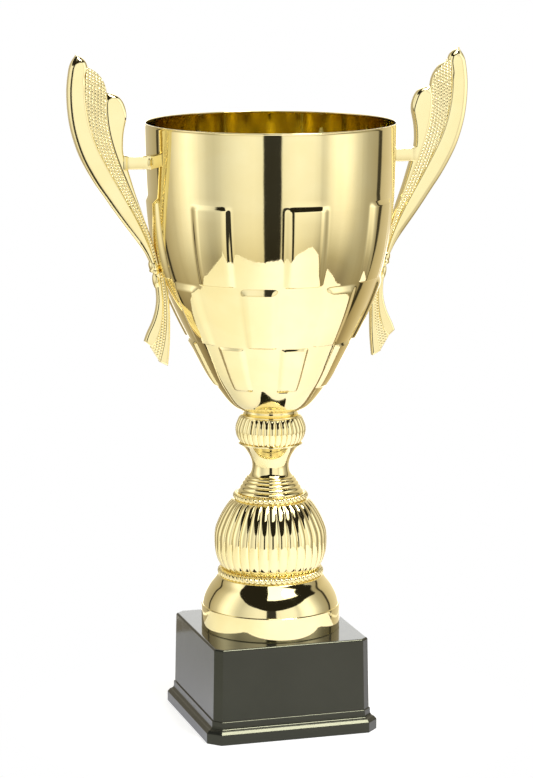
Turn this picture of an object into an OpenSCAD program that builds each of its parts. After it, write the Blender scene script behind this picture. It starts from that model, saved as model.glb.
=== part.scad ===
// Two-handled presentation cup on a fluted stem and a square black plinth.
// Frame: origin at the centre of the plinth's underside, +Z up, handles along X.

/* [Bowl] */
// Outside radius of the cup at its rim
rim_r = 101.2; // [99.2:0.5:102.2]
// Height of the rim above the table
rim_z = 493; // [492:0.5:495]
// Sheet thickness of the pressed cup
sheet_t = 1.0; // [0.9:0.1:1.1]
// How far the pressed panels stand out of the cup wall
emboss_h = 2.2; // [2:0.1:2.4]
// Number of raised panels in each ring of the chequer pattern
panels_per_ring = 8; // [8:1:8]

/* [Stem] */
// Lobes round the large fluted knop
knop_lobes = 34; // [30:1:36]
// Lobes round the small fluted knop under the cup
small_knop_lobes = 34; // [30:1:36]
// Beads in the lower beaded ring
lower_beads = 56; // [48:1:56]
// Beads in the upper beaded ring
upper_beads = 40; // [34:1:40]
// Wall of the hollow stem mouldings
stem_wall = 2.4; // [2:0.2:2.8]
// Radius of the tie rod that clamps the cup together
rod_r = 4; // [3.9:0.05:4]

/* [Handles] */
// Thickness of the smooth outer leaf of each handle
outer_leaf_t = 9; // [8:0.5:10]
// Thickness of the beaded middle leaf
middle_leaf_t = 6; // [5:0.5:7]
// Thickness of the smooth inner leaf
inner_leaf_t = 8.4; // [7.5:0.3:9]
// Radius of the screws that hold the handles on
handle_screw_r = 2; // [1.9:0.05:2]

/* [Plinth] */
// Half the width of the plinth at its foot
plinth_half = 72; // [71:0.5:74]
// Wall of the plinth moulding
plinth_wall = 3.2; // [2.6:0.2:3.4]
// Thickness of the iron ballast block
ballast_t = 24; // [16:1:26]

/* [Hidden] */
$fn = 96;

gold = "gold";
bright = "khaki";
eps = 0.01;

// Levels of the stack, from the table up
plinth_top = 77;
dome_top = 121;
lower_ring_top = 127;
knop_top = 184.6;
upper_ring_top = 190;
neck_top = 232;
small_knop_top = 254.5;
collar_top = 259.3;
bowl_floor = 259.3;

// ---------- curves ----------
// Point on a Catmull-Rom curve between b and c
function cr(a, b, c, d, t) =
    0.5 * ((2 * b) + (c - a) * t + (2 * a - 5 * b + 4 * c - d) * t * t + (3 * b - a - 3 * c + d) * t * t * t);
// Smooth open curve through p, n steps for each span
function smooth(p, n) = let (m = len(p) - 1)
    [for (i = [0 : m - 1]) for (k = [0 : n - 1])
        cr(p[max(i - 1, 0)], p[i], p[i + 1], p[min(i + 2, m)], k / n), p[m]];
// Unit normal of an open curve at point i, to the right of its direction
function nrm(p, i) = let (m = len(p) - 1, d = p[min(i + 1, m)] - p[max(i - 1, 0)]) [d[1], -d[0]] / norm(d);
// Curve moved sideways by d
function beside(p, d) = [for (i = [0 : len(p) - 1]) p[i] + nrm(p, i) * d];
function rev(p) = [for (i = [len(p) - 1 : -1 : 0]) p[i]];
// Part of a rising curve between two heights
function between(p, lo, hi) = [for (q = p) if (q[1] > lo && q[1] < hi) q];
function radius_at(p, z) = lookup(z, [for (q = p) [q[1], q[0]]]);

// Cup wall from the floor's edge to the rim, [radius, height]
cup_ctrl = [[22.6, 259.3], [28.2, 260.8], [32.6, 264], [37.9, 270], [45.2, 280], [51.8, 290], [59.5, 305],
            [67.3, 320], [74.6, 335], [81.6, 350], [87, 365], [91.4, 380], [94.6, 395], [97, 410],
            [98.6, 425], [99.7, 440], [100.5, 460], [101, 480], [rim_r, rim_z]];
cup_curve = smooth(cup_ctrl, 2);

// Rings of raised panels: [low z, high z, first panel's centre angle]
col_w = 180 / panels_per_ring;
rings = [[372, 436, 0], [320.6, 370.2, col_w], [281, 318.8, 0]];

module strip(lo, hi, d_in, d_out, bevel) {
    c = between(cup_curve, lo + bevel, hi - bevel);
    a = [radius_at(cup_curve, lo), lo];
    b = [radius_at(cup_curve, hi), hi];
    inner = beside(concat([a], c, [b]), d_in);
    a2 = [radius_at(cup_curve, lo + bevel), lo + bevel];
    b2 = [radius_at(cup_curve, hi - bevel), hi - bevel];
    outer = beside(concat([a2], c, [b2]), d_out);
    polygon(concat(inner, rev(outer)));
}
module ring_of_panels(r, inset, d_in, d_out, bevel) {
    for (i = [0 : panels_per_ring - 1])
        rotate([0, 0, r[2] - 90 - col_w / 2 + inset + i * 2 * col_w])
            rotate_extrude(angle = col_w - 2 * inset)
                strip(r[0] + inset * 0.9, r[1] - inset * 0.9, d_in, d_out, bevel);
}

module bowl() {
    color(gold) difference() {
        union() {
            rotate_extrude() union() {
                polygon(concat([[4.4, bowl_floor]], cup_curve, rev(beside(cup_curve, -sheet_t)), [[4.4, bowl_floor + sheet_t]]));
                translate([rim_r - 0.4, rim_z - 0.9]) circle(r = 0.9, $fn = 24);
            }
            for (r = rings) ring_of_panels(r, 0.3, -0.5, emboss_h, 1.2);
        }
        for (r = rings) ring_of_panels(r, 1.5, -sheet_t - 1.5, emboss_h - sheet_t, 0);
        for (s = [0, 180]) rotate([0, 0, s]) {
            at_upper_screw() cylinder(h = 12, r = handle_screw_r + 0.25, center = true);
            at_lower_screw() cylinder(h = 14, r = handle_screw_r + 0.25, center = true);
        }
    }
}

// ---------- fasteners inside the cup ----------
module hex_nut(s, h, r) {
    difference() {
        intersection() {
            cylinder(h = h, r = s / sqrt(3), $fn = 6);
            union() {
                cylinder(h = h - 1.2, r = s);
                translate([0, 0, h - 1.2]) cylinder(h = 1.2, r1 = s / sqrt(3) + 0.4, r2 = s / 2 - 0.1);
            }
        }
        translate([0, 0, -1]) cylinder(h = h + 2, r = r);
    }
}
module flat_washer(r_out, r_in, t) {
    difference() {
        cylinder(h = t, r = r_out);
        translate([0, 0, -1]) cylinder(h = t + 2, r = r_in);
    }
}
module bowl_washer() { color("silver") translate([0, 0, bowl_floor + sheet_t]) flat_washer(18, rod_r + 0.3, 1.6); }
module bowl_nut() { color("silver") translate([0, 0, bowl_floor + sheet_t + 1.6]) hex_nut(13, 6.5, rod_r + 0.02); }

// ---------- stem ----------
// Hollow turned moulding: outside curve p (bottom to top), a wall all round and a rod hole
module turned(p, wall) {
    lo = p[0][1];
    hi = p[len(p) - 1][1];
    core = [for (q = p) if (q[1] > lo + wall && q[1] < hi - wall) [q[0] - wall * 1.15, q[1]]];
    rotate_extrude() difference() {
        polygon(concat([[rod_r + 0.4, lo]], p, [[rod_r + 0.4, hi]]));
        polygon(concat([[rod_r + 3.2, lo + wall]], [[radius_at(p, lo + wall) - wall * 1.15, lo + wall]], core,
                       [[radius_at(p, hi - wall) - wall * 1.15, hi - wall]], [[rod_r + 3.2, hi - wall]]));
    }
}
// Ribs that follow the curve p, one for each lobe
module lobes(p, n, deep, lo, hi) {
    c = between(p, lo, hi);
    for (i = [0 : n - 1]) rotate([0, 0, (i + 0.14) * 360 / n])
        rotate_extrude(angle = 360 / n * 0.72)
            polygon(concat(c, rev([for (q = c) [q[0] - deep * 1.6, q[1]]])));
}

module bowl_collar() {
    color(gold) rotate_extrude() polygon([[rod_r + 0.4, small_knop_top], [24.6, small_knop_top], [24.2, 255.2],
        [22.4, 255.8], [21.6, 257], [21.4, 258.4], [22, collar_top], [rod_r + 0.4, collar_top]]);
}

small_knop_ctrl = [[25, 232], [26.4, 234.5], [27.8, 237.5], [28.5, 241], [28.6, 244.5], [28.1, 248],
                   [26.9, 251.5], [24.4, 254.5]];
small_knop_curve = smooth(small_knop_ctrl, 2);
module upper_knop() {
    deep = 0.7;
    body_p = [for (q = small_knop_curve) [q[0] - ((q[1] > 232.5 && q[1] < 254) ? deep : 0), q[1]]];
    color(gold) union() {
        turned(body_p, stem_wall);
        lobes(smooth(small_knop_ctrl, 3), small_knop_lobes, deep, 233, 253);
    }
}

neck_curve = concat(
    [[27.2, 190], [27.2, 192.2], [26.6, 193.4], [25, 193.6], [24.9, 196], [24.3, 197.2], [22.8, 197.4],
     [22.7, 199.8], [22.1, 201], [19.6, 201.2], [19.4, 202.8]],
    smooth([[17.6, 203.6], [16.4, 206], [15.3, 209.2], [15, 212], [15.4, 215.8], [16.8, 219.8], [19.2, 223.8], [22.4, 227.6], [25.4, 230], [26.2, 231]], 2),
    [[26, neck_top]]);
module neck() {
    color(gold) rotate_extrude() polygon(concat([[rod_r + 0.4, upper_ring_top]], neck_curve, [[rod_r + 0.4, neck_top]]));
}

module bead_ring(z0, z1, r_centre, r_bead, n, r_top) {
    union() {
        rotate_extrude() polygon([[rod_r + 0.4, z0], [r_centre + 0.2, z0], [r_centre + 0.2, z1], [r_top, z1], [rod_r + 0.4, z1]]);
        for (i = [0 : n - 1]) rotate([0, 0, i * 360 / n]) translate([r_centre, 0, (z0 + z1) / 2]) sphere(r = r_bead, $fn = 24);
    }
}
module upper_bead_ring() { color(bright) bead_ring(knop_top, upper_ring_top, 28.4, 2.0, upper_beads, 28); }
module lower_bead_ring() { color(bright) bead_ring(dome_top, lower_ring_top, 40.8, 2.1, lower_beads, 40.4); }

knop_ctrl = [[39.4, 127], [42.4, 131.5], [44.6, 137], [45.9, 143.5], [46.2, 150], [45.8, 157], [44.1, 164],
             [41.5, 170.5], [38, 177], [34.2, 181.8], [30.8, 184.6]];
knop_curve = smooth(knop_ctrl, 2);
module main_knop() {
    deep = 1.2;
    body_p = [for (q = knop_curve) [q[0] - ((q[1] > 127.8 && q[1] < 183.8) ? deep : 0), q[1]]];
    color(gold) union() {
        turned(body_p, stem_wall);
        lobes(smooth(knop_ctrl, 3), knop_lobes, deep, 128, 183.2);
    }
}

dome_curve = smooth([[43.4, 121], [45.6, 117.6], [48.6, 113.8], [51.4, 109.4], [53.6, 105], [55, 101], [55.7, 97.2]], 2);
module foot_dome() {
    w = stem_wall;
    skirt = 57;
    color(gold) rotate_extrude() difference() {
        polygon(concat([[rod_r + 0.4, dome_top]], dome_curve, [[56.6, 97], [skirt, 96.4], [skirt, plinth_top], [rod_r + 0.4, plinth_top]]));
        polygon(concat([[rod_r + 3.6, dome_top - w]], [[42, dome_top - w]],
            [for (q = dome_curve) if (q[1] < dome_top - w - 0.3) [q[0] - w * 1.2, q[1]]],
            [[53.4, 96.4], [skirt - w, 95], [skirt - w, plinth_top - 1], [rod_r + 3.6, plinth_top - 1]]));
    }
}

// ---------- plinth ----------
module cut_square(h, c) {
    polygon([[h, h - c], [h - c, h], [c - h, h], [-h, h - c], [-h, c - h], [c - h, -h], [h - c, -h], [h, c - h]]);
}
boss_xy = plinth_half - 16;
module plinth() {
    h = plinth_half;
    c = 9.6;
    w = plinth_wall;
    cove = 5;
    color("black") difference() {
        union() {
            difference() {
                linear_extrude(height = 14.5) cut_square(h, c);
                for (a = [0 : 90 : 270]) rotate([0, 0, a]) {
                    translate([h, 0, 14.5]) rotate([90, 0, 0]) cylinder(h = 3 * h, r = cove, center = true, $fn = 48);
                    rotate([0, 0, 45]) translate([(2 * h - c) / sqrt(2), 0, 14.5]) rotate([90, 0, 0]) cylinder(h = 3 * h, r = cove, center = true, $fn = 48);
                }
            }
            translate([0, 0, 14.4]) linear_extrude(height = 3.6) cut_square(h - 5, c - 2.9);
            translate([0, 0, 17.9]) linear_extrude(height = 57.9, scale = (h - 7.2) / (h - 6)) cut_square(h - 6, c - 3.5);
            translate([0, 0, 75.8]) linear_extrude(height = 1.2, scale = (h - 8.1) / (h - 7.2)) cut_square(h - 7.2, c - 3.7);
        }
        // hollow, open below
        difference() {
            translate([0, 0, -1]) linear_extrude(height = plinth_top - w) cut_square(h - 6 - 1.4 - w, 8);
            for (x = [-1, 1]) for (y = [-1, 1]) translate([x * boss_xy, y * boss_xy, 4.4]) linear_extrude(height = 80) union() {
                circle(r = 5, $fn = 48);
                translate([x * 6 - 6, y * 6 - 1.2]) square([12, 2.4]);
                translate([x * 6 - 1.2, y * 6 - 6]) square([2.4, 12]);
            }
        }
        // recess for the cover
        translate([0, 0, -1]) linear_extrude(height = 5.4) cut_square(h - 3, 8);
        translate([0, 0, -1]) cylinder(h = 100, r = rod_r + 0.4);
        for (x = [-1, 1]) for (y = [-1, 1]) translate([x * boss_xy, y * boss_xy, 0]) cylinder(h = 18, r = 1.45);
    }
}

ballast_top = plinth_top - plinth_wall - 1;
module ballast() {
    color("dimgray") difference() {
        translate([0, 0, ballast_top - ballast_t]) linear_extrude(height = ballast_t) cut_square(46, 8);
        cylinder(h = 100, r = rod_r + 0.5);
    }
}
washer_z = ballast_top - ballast_t - 2;
module base_washer() { color("silver") translate([0, 0, washer_z]) flat_washer(15, rod_r + 0.3, 2); }
module base_nut() { color("silver") translate([0, 0, washer_z]) mirror([0, 0, 1]) hex_nut(13, 6.5, rod_r + 0.02); }

rod_lo = washer_z - 11;
rod_hi = bowl_floor + sheet_t + 1.6 + 6.5 + 3.5;
module tie_rod() {
    color("silver") rotate_extrude() polygon([[0, rod_lo], [rod_r - 0.8, rod_lo], [rod_r, rod_lo + 0.8],
        [rod_r, rod_hi - 0.8], [rod_r - 0.8, rod_hi], [0, rod_hi]]);
}

module base_cover() {
    color("saddlebrown") difference() {
        translate([0, 0, 1.2]) linear_extrude(height = 3) cut_square(plinth_half - 3.3, 8);
        for (x = [-1, 1]) for (y = [-1, 1]) translate([x * boss_xy, y * boss_xy, 0]) {
            cylinder(h = 10, r = 1.8);
            translate([0, 0, 1.1]) cylinder(h = 1.9, r1 = 3.5, r2 = 1.7);
        }
    }
}
module cover_screws() {
    color("silver") for (x = [-1, 1]) for (y = [-1, 1]) translate([x * boss_xy, y * boss_xy, 1.3]) difference() {
        rotate_extrude() polygon([[0, 0], [3.2, 0], [1.4, 1.8], [1.4, 12], [0, 14]]);
        for (a = [0, 90]) rotate([0, 0, a]) translate([-1.8, -0.35, -1]) cube([3.6, 0.7, 1.9]);
    }
}
module base_felt() { color("darkgreen") linear_extrude(height = 1.1) cut_square(plinth_half - 3.8, 8); }

// ---------- handles ----------
upper_screw_z = 463.5;
lower_screw_z = 379;
lower_tilt = 14;
module at_upper_screw() { translate([100.2, 0, upper_screw_z]) rotate([0, 90, 0]) children(); }
module at_lower_screw() { translate([91.8, 0, lower_screw_z]) rotate([0, 90 + lower_tilt, 0]) children(); }

// Outlines in the handle's own plane, [distance from the cup's axis, height]
outer_edge = smooth([[159.5, 549.5], [162.5, 545], [165.2, 535], [166.4, 525], [166.6, 515], [166, 505], [164.2, 493],
    [160.8, 480], [156.3, 468], [150.6, 457], [144.3, 446.5], [137, 436], [128.7, 424], [120, 412], [111, 400],
    [103.8, 389.5], [100, 382]], 2);
outer_inner_edge = smooth([[159.5, 549.5], [155, 547.6], [151.6, 544], [150.2, 540], [152.2, 528], [152.7, 516], [151.5, 505],
    [148.5, 491], [143.5, 477], [136, 462], [126.5, 445], [116, 427], [107, 410], [100.5, 394], [97.4, 382]], 2);
middle_inner_edge = smooth([[149, 539], [144, 536], [139.2, 531], [136.6, 526], [135.2, 519], [135.4, 505], [134.3, 493],
    [131.5, 480], [126.5, 465], [119.5, 448], [112, 432], [105, 417], [99.6, 402], [96.5, 390], [95.6, 382]], 2);
inner_edge = smooth([[134.4, 519], [129, 517.7], [124, 514.6], [120.7, 509], [119.5, 503.5], [119.9, 498], [121.6, 490],
    [122.6, 480], [122.4, 472], [119.2, 460], [116.2, 450], [113.2, 440], [109.8, 430], [106, 419], [102, 407],
    [98.4, 396], [94.5, 382]], 2);
tail_outer = smooth([[98, 375], [95.8, 362], [95.2, 352], [96.8, 342], [100, 333], [103.4, 326], [105.4, 320.6]], 3);
tail_outer_in = smooth([[92.6, 375], [91.2, 360], [90.8, 345], [92.6, 331], [96, 321], [99.4, 315.4]], 3);
tail_mid_in = smooth([[91, 375], [88.4, 360], [87.6, 345], [88, 331], [90, 316], [93, 303.6]], 3);
tail_inner = smooth([[89.6, 375], [86.4, 360], [85, 345], [84.8, 331], [85.2, 316], [86.6, 300]], 3);

module leaf(a, b, t) { rotate([90, 0, 0]) linear_extrude(height = t, center = true) polygon(concat(a, rev(b))); }
module cup_envelope(gap) {
    rotate_extrude() polygon(concat([[0, 300]], between(beside(cup_curve, gap), 300, 500), [[0, 499]]));
}
module handle() {
    difference() {
        union() {
            leaf(outer_edge, outer_inner_edge, outer_leaf_t);
            leaf([for (q = between(outer_inner_edge, 380, 539.5)) q + [1.2, 0]], middle_inner_edge, middle_leaf_t);
            leaf([for (q = between(middle_inner_edge, 380, 518.9)) q + [0.9, 0]], inner_edge, inner_leaf_t);
            // knot where the leaves are tied together
            translate([96.4, 0, 378.5]) rotate([90, 0, 0]) cylinder(h = 10.4, r = 6.6, center = true);
            translate([97.6, 0, 384]) rotate([90, 0, 0]) cylinder(h = 9.6, r = 4.4, center = true);
            translate([96.6, 0, 373]) rotate([90, 0, 0]) cylinder(h = 9.6, r = 4, center = true);
            // tail below the knot
            leaf(tail_outer, concat(tail_outer_in, []), 7);
            leaf([for (q = tail_outer_in) q + [0.9, 0]], tail_mid_in, 5);
            leaf([for (q = tail_mid_in) q + [0.6, 0]], tail_inner, 6.2);
            // arm to the cup wall and lug behind the knot
            translate([96, -4.5, 458.2]) cube([26.5, 9, 10.6]);
            at_lower_screw() translate([0, 0, -4]) cylinder(h = 9, r = 5);
        }
        cup_envelope_upper();
        intersection() {
            cup_envelope(emboss_h + 0.1);
            translate([60, -20, 365]) cube([60, 40, 30]);
        }
        at_upper_screw() translate([0, 0, -10]) cylinder(h = 30, r = handle_screw_r + 0.02);
        at_lower_screw() translate([0, 0, -10]) cylinder(h = 19.4, r = handle_screw_r + 0.02);
    }
}
module cup_envelope_upper() {
    intersection() {
        cup_envelope(0.1);
        translate([60, -20, 450]) cube([60, 40, 30]);
    }
}
module left_handle() { color(bright) mirror([1, 0, 0]) handle(); }
module right_handle() { color(bright) handle(); }

// Pan-head screw along +Z with its head below z = 0
module pan_screw(len) {
    difference() {
        rotate_extrude() polygon([[0, -2.8], [2.4, -2.8], [3.4, -2.4], [3.9, -1.4], [4, 0], [handle_screw_r, 0],
            [handle_screw_r, len - 0.8], [handle_screw_r - 0.8, len], [0, len]]);
        for (a = [0, 90]) rotate([0, 0, a]) translate([-2.1, -0.45, -3.5]) cube([4.2, 0.9, 2.3]);
    }
}
upper_seat = -2.1;
lower_seat = -1.7;
module handle_screws() {
    color("silver") for (s = [0, 180]) rotate([0, 0, s]) {
        at_upper_screw() translate([0, 0, upper_seat]) pan_screw(19);
        at_lower_screw() translate([0, 0, lower_seat]) pan_screw(10.5);
    }
}
module handle_washers() {
    color("silver") for (s = [0, 180]) rotate([0, 0, s]) {
        at_upper_screw() translate([0, 0, upper_seat]) flat_washer(5, handle_screw_r + 0.2, 1);
        at_lower_screw() translate([0, 0, lower_seat]) flat_washer(5, handle_screw_r + 0.2, 1);
    }
}

bowl();
bowl_washer();
bowl_nut();
bowl_collar();
upper_knop();
neck();
upper_bead_ring();
main_knop();
lower_bead_ring();
foot_dome();
plinth();
ballast();
base_washer();
base_nut();
tie_rod();
base_cover();
cover_screws();
base_felt();
left_handle();
right_handle();
handle_screws();
handle_washers();
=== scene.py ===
import math

import bpy
import numpy as np
from mathutils import Matrix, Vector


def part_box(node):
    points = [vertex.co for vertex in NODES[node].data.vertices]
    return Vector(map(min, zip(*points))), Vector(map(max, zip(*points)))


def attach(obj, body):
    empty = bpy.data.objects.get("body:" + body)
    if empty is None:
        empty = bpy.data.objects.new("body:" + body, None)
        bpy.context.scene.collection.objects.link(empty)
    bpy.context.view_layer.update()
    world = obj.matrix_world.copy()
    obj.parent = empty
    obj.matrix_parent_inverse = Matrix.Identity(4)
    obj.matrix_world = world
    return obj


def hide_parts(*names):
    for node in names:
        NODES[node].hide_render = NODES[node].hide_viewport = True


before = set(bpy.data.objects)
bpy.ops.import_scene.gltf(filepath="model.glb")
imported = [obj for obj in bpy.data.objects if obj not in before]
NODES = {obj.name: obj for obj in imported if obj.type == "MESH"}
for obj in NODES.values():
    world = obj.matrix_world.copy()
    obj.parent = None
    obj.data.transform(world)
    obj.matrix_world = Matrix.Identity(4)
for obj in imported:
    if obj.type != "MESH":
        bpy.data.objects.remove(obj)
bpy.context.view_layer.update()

TAU = 2 * math.pi
scene = bpy.context.scene

# Camera direction round the cup: the studio is laid out about it.
AZ = -0.2929801


# ---------------------------------------------------------------- mesh helpers
def piece(name, verts_mm, faces, mat, slot, stands_for, sharp=42.0):
    """A closed mesh from millimetre points, riding on the part's one body."""
    me = bpy.data.meshes.new(name)
    me.from_pydata((np.asarray(verts_mm, float) / 1000.0).tolist(), [], [tuple(f) for f in faces])
    me.validate()
    me.polygons.foreach_set("use_smooth", [True] * len(me.polygons))
    me.set_sharp_from_angle(angle=math.radians(sharp))
    me.materials.append(mat)
    me.update()
    ob = bpy.data.objects.new(name, me)
    scene.collection.objects.link(ob)
    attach(ob, "root")
    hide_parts(*stands_for)
    return ob


def join(parts):
    """Several (verts, faces) as one."""
    vs, fs, n = [], [], 0
    for v, f in parts:
        v = np.asarray(v, float)
        vs.append(v)
        fs.extend([tuple(int(i) + n for i in q) for q in f])
        n += len(v)
    return np.concatenate(vs), fs


def grid_faces(nr, nc, wrap_r=False, wrap_c=True, flip=False):
    """Quads over nr rows of nc points."""
    r = np.arange(nr if wrap_r else nr - 1)
    c = np.arange(nc if wrap_c else nc - 1)
    R, C = np.meshgrid(r, c, indexing="ij")
    R2, C2 = (R + 1) % nr, (C + 1) % nc
    q = np.stack([R * nc + C, R * nc + C2, R2 * nc + C2, R2 * nc + C], -1).reshape(-1, 4)
    if flip:
        q = q[:, ::-1]
    return [tuple(x) for x in q.tolist()]


def spline(points):
    """Natural cubic spline through points; returns f(t) and its length t runs to."""
    P = np.asarray(points, float)
    t = np.concatenate([[0], np.cumsum(np.linalg.norm(np.diff(P, axis=0), axis=1))])
    n = len(t)
    A = np.zeros((n, n))
    B = np.zeros((n, P.shape[1]))
    A[0, 0] = A[-1, -1] = 1
    for i in range(1, n - 1):
        a, b = t[i] - t[i - 1], t[i + 1] - t[i]
        A[i, i - 1], A[i, i], A[i, i + 1] = a, 2 * (a + b), b
        B[i] = 6 * ((P[i + 1] - P[i]) / b - (P[i] - P[i - 1]) / a)
    M = np.linalg.solve(A, B)

    def f(u):
        u = np.clip(np.atleast_1d(np.asarray(u, float)), 0, t[-1])
        i = np.clip(np.searchsorted(t, u, side="right") - 1, 0, n - 2)
        h = (t[i + 1] - t[i])[:, None]
        a = (t[i + 1] - u)[:, None] / h
        b = 1 - a
        return a * P[i] + b * P[i + 1] + ((a ** 3 - a) * M[i] + (b ** 3 - b) * M[i + 1]) * h * h / 6

    return f, t[-1]


def even(points, n):
    """n points evenly spaced along the smooth curve through points."""
    f, L = spline(points)
    dense = f(np.linspace(0, L, 2000))
    s = np.concatenate([[0], np.cumsum(np.linalg.norm(np.diff(dense, axis=0), axis=1))])
    w = np.linspace(0, s[-1], n)
    return np.stack([np.interp(w, s, dense[:, k]) for k in range(dense.shape[1])], 1)


def ease(x, lo, hi):
    t = np.clip((np.asarray(x, float) - lo) / (hi - lo), 0, 1)
    return t * t * (3 - 2 * t)


def rounded(corners, default=0.25, steps=4):
    """Open profile with each inner corner turned into a small arc; a corner is (r, z) or (r, z, radius)."""
    P = [np.array(c[:2], float) for c in corners]
    rad = [c[2] if len(c) > 2 else default for c in corners]
    out = [P[0]]
    for i in range(1, len(P) - 1):
        a, b, c = P[i - 1], P[i], P[i + 1]
        u, v = a - b, c - b
        lu, lv = np.linalg.norm(u), np.linalg.norm(v)
        u, v = u / lu, v / lv
        cosang = float(np.clip(u @ v, -1, 1))
        ang = math.acos(cosang)
        if ang > math.radians(176) or rad[i] <= 0:
            out.append(b)
            continue
        cut = min(rad[i] / math.tan(ang / 2), 0.45 * lu, 0.45 * lv)
        r = cut * math.tan(ang / 2)
        centre = b + (u + v) / np.linalg.norm(u + v) * (r / math.sin(ang / 2))
        p0, p1 = b + u * cut, b + v * cut
        a0 = math.atan2(*(p0 - centre)[::-1])
        a1 = math.atan2(*(p1 - centre)[::-1])
        d = (a1 - a0 + math.pi) % TAU - math.pi
        for k in range(steps + 1):
            t = a0 + d * k / steps
            out.append(centre + r * np.array([math.cos(t), math.sin(t)]))
    out.append(P[-1])
    return np.array(out)


def revolve_loop(loop, n, radial=None):
    """Closed (r, z) loop turned round Z; radial(r, z, theta) may change the radius."""
    loop = np.asarray(loop, float)
    th = np.arange(n) * TAU / n
    R = np.repeat(loop[:, :1], n, 1)
    Z = np.repeat(loop[:, 1:2], n, 1)
    T = np.repeat(th[None, :], len(loop), 0)
    if radial is not None:
        R = R + radial(R, Z, T)
    V = np.stack([R * np.cos(T), R * np.sin(T), Z], -1).reshape(-1, 3)
    area = 0.5 * np.sum(loop[:, 0] * np.roll(loop[:, 1], -1) - np.roll(loop[:, 0], -1) * loop[:, 1])
    return V, grid_faces(len(loop), n, wrap_r=True, wrap_c=True, flip=area < 0)


# ---------------------------------------------------------------- materials
class Graph:
    """A few short names for building node trees."""

    def __init__(self, tree):
        self.t = tree

    def node(self, kind, **kw):
        n = self.t.nodes.new(kind)
        for k, v in kw.items():
            setattr(n, k, v)
        return n

    def put(self, sock, v):
        if isinstance(v, bpy.types.NodeSocket):
            self.t.links.new(v, sock)
        elif v is not None:
            sock.default_value = v

    def math(self, op, a, b=None, clamp=False):
        n = self.node("ShaderNodeMath", operation=op, use_clamp=clamp)
        self.put(n.inputs[0], a)
        self.put(n.inputs[1], b)
        return n.outputs[0]

    def dot(self, a, b):
        n = self.node("ShaderNodeVectorMath", operation="DOT_PRODUCT")
        self.put(n.inputs[0], a)
        self.put(n.inputs[1], b)
        return n.outputs["Value"]

    def ramp_to(self, v, a, b, c=0.0, d=1.0, smooth=True):
        n = self.node("ShaderNodeMapRange", interpolation_type="SMOOTHSTEP" if smooth else "LINEAR")
        self.put(n.inputs["Value"], v)
        for k, x in (("From Min", a), ("From Max", b), ("To Min", c), ("To Max", d)):
            n.inputs[k].default_value = x
        return n.outputs["Result"]

    def ramp(self, fac, stops, interp="LINEAR"):
        n = self.node("ShaderNodeValToRGB")
        cr = n.color_ramp
        cr.interpolation = interp
        while len(cr.elements) < len(stops):
            cr.elements.new(0.5)
        for e, (p, c) in zip(cr.elements, stops):
            e.position = min(max(p, 0), 1)
            e.color = (*c, 1) if isinstance(c, (tuple, list)) else (c, c, c, 1)
        self.put(n.inputs[0], fac)
        return n.outputs["Color"]

    def mix(self, fac, a, b, blend="MIX"):
        n = self.node("ShaderNodeMix", data_type="RGBA", blend_type=blend)
        self.put(n.inputs[0], fac)
        self.put(n.inputs[6], a)
        self.put(n.inputs[7], b)
        return n.outputs[2]

    def noise(self, vec, scale, detail=2.0, rough=0.5, distort=0.0):
        n = self.node("ShaderNodeTexNoise")
        self.put(n.inputs["Vector"], vec)
        n.inputs["Scale"].default_value = scale
        n.inputs["Detail"].default_value = detail
        n.inputs["Roughness"].default_value = rough
        n.inputs["Distortion"].default_value = distort
        return n.outputs["Fac"]


def new_material(name):
    m = bpy.data.materials.new(name)
    m.use_nodes = True
    g = Graph(m.node_tree)
    bsdf = m.node_tree.nodes["Principled BSDF"]
    tc = g.node("ShaderNodeTexCoord")
    return m, g, bsdf, tc.outputs["Object"]


def gold(name, rough_lo, rough_hi, wave, grain, tone=(0.91, 0.80, 0.44), deep=(0.89, 0.765, 0.395), grain_scale=700.0):
    """Bright gilt plating: a clear mirror with faint polishing haze, slow waviness and a fine skin."""
    m, g, b, co = new_material(name)
    b.inputs["Metallic"].default_value = 1.0
    patch = g.noise(co, 26.0, 3.0, 0.55, 0.3)
    g.put(b.inputs["Base Color"], g.mix(g.ramp_to(patch, 0.30, 0.72), (*tone, 1), (*deep, 1)))
    haze = g.noise(co, 95.0, 4.0, 0.6, 0.6)
    fleck = g.noise(co, 1500.0, 2.0, 0.5)
    r = g.math("ADD", g.ramp_to(haze, 0.35, 0.70, rough_lo, rough_hi), g.ramp_to(fleck, 0.62, 0.80, 0.0, 0.03))
    g.put(b.inputs["Roughness"], r)
    slow = g.noise(co, 42.0, 1.0, 0.4)
    fine = g.noise(co, grain_scale, 2.0, 0.5)
    b1 = g.node("ShaderNodeBump")
    b1.inputs["Strength"].default_value = wave
    b1.inputs["Distance"].default_value = 0.0006
    g.put(b1.inputs["Height"], slow)
    b2 = g.node("ShaderNodeBump")
    b2.inputs["Strength"].default_value = grain
    b2.inputs["Distance"].default_value = 0.00004
    g.put(b2.inputs["Height"], fine)
    g.put(b2.inputs["Normal"], b1.outputs["Normal"])
    g.put(b.inputs["Normal"], b2.outputs["Normal"])
    return m


M_BOWL = gold("gilt_sheet", 0.030, 0.055, 0.10, 0.10)
# Painted shade: the inside of the bowl is the same gilt as the outside, given a darker, deeper tone that stands in for
# the light lost bouncing round inside the cup.
M_INSIDE_SHADED = gold("gilt_inside_painted_shade", 0.035, 0.070, 0.10, 0.20, (0.75, 0.66, 0.25), (0.72, 0.63, 0.23))
M_STEM = gold("gilt_moulding", 0.040, 0.070, 0.07, 0.15)
M_HANDLE = gold("gilt_handle", 0.070, 0.120, 0.10, 0.35, grain_scale=520.0)


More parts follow.
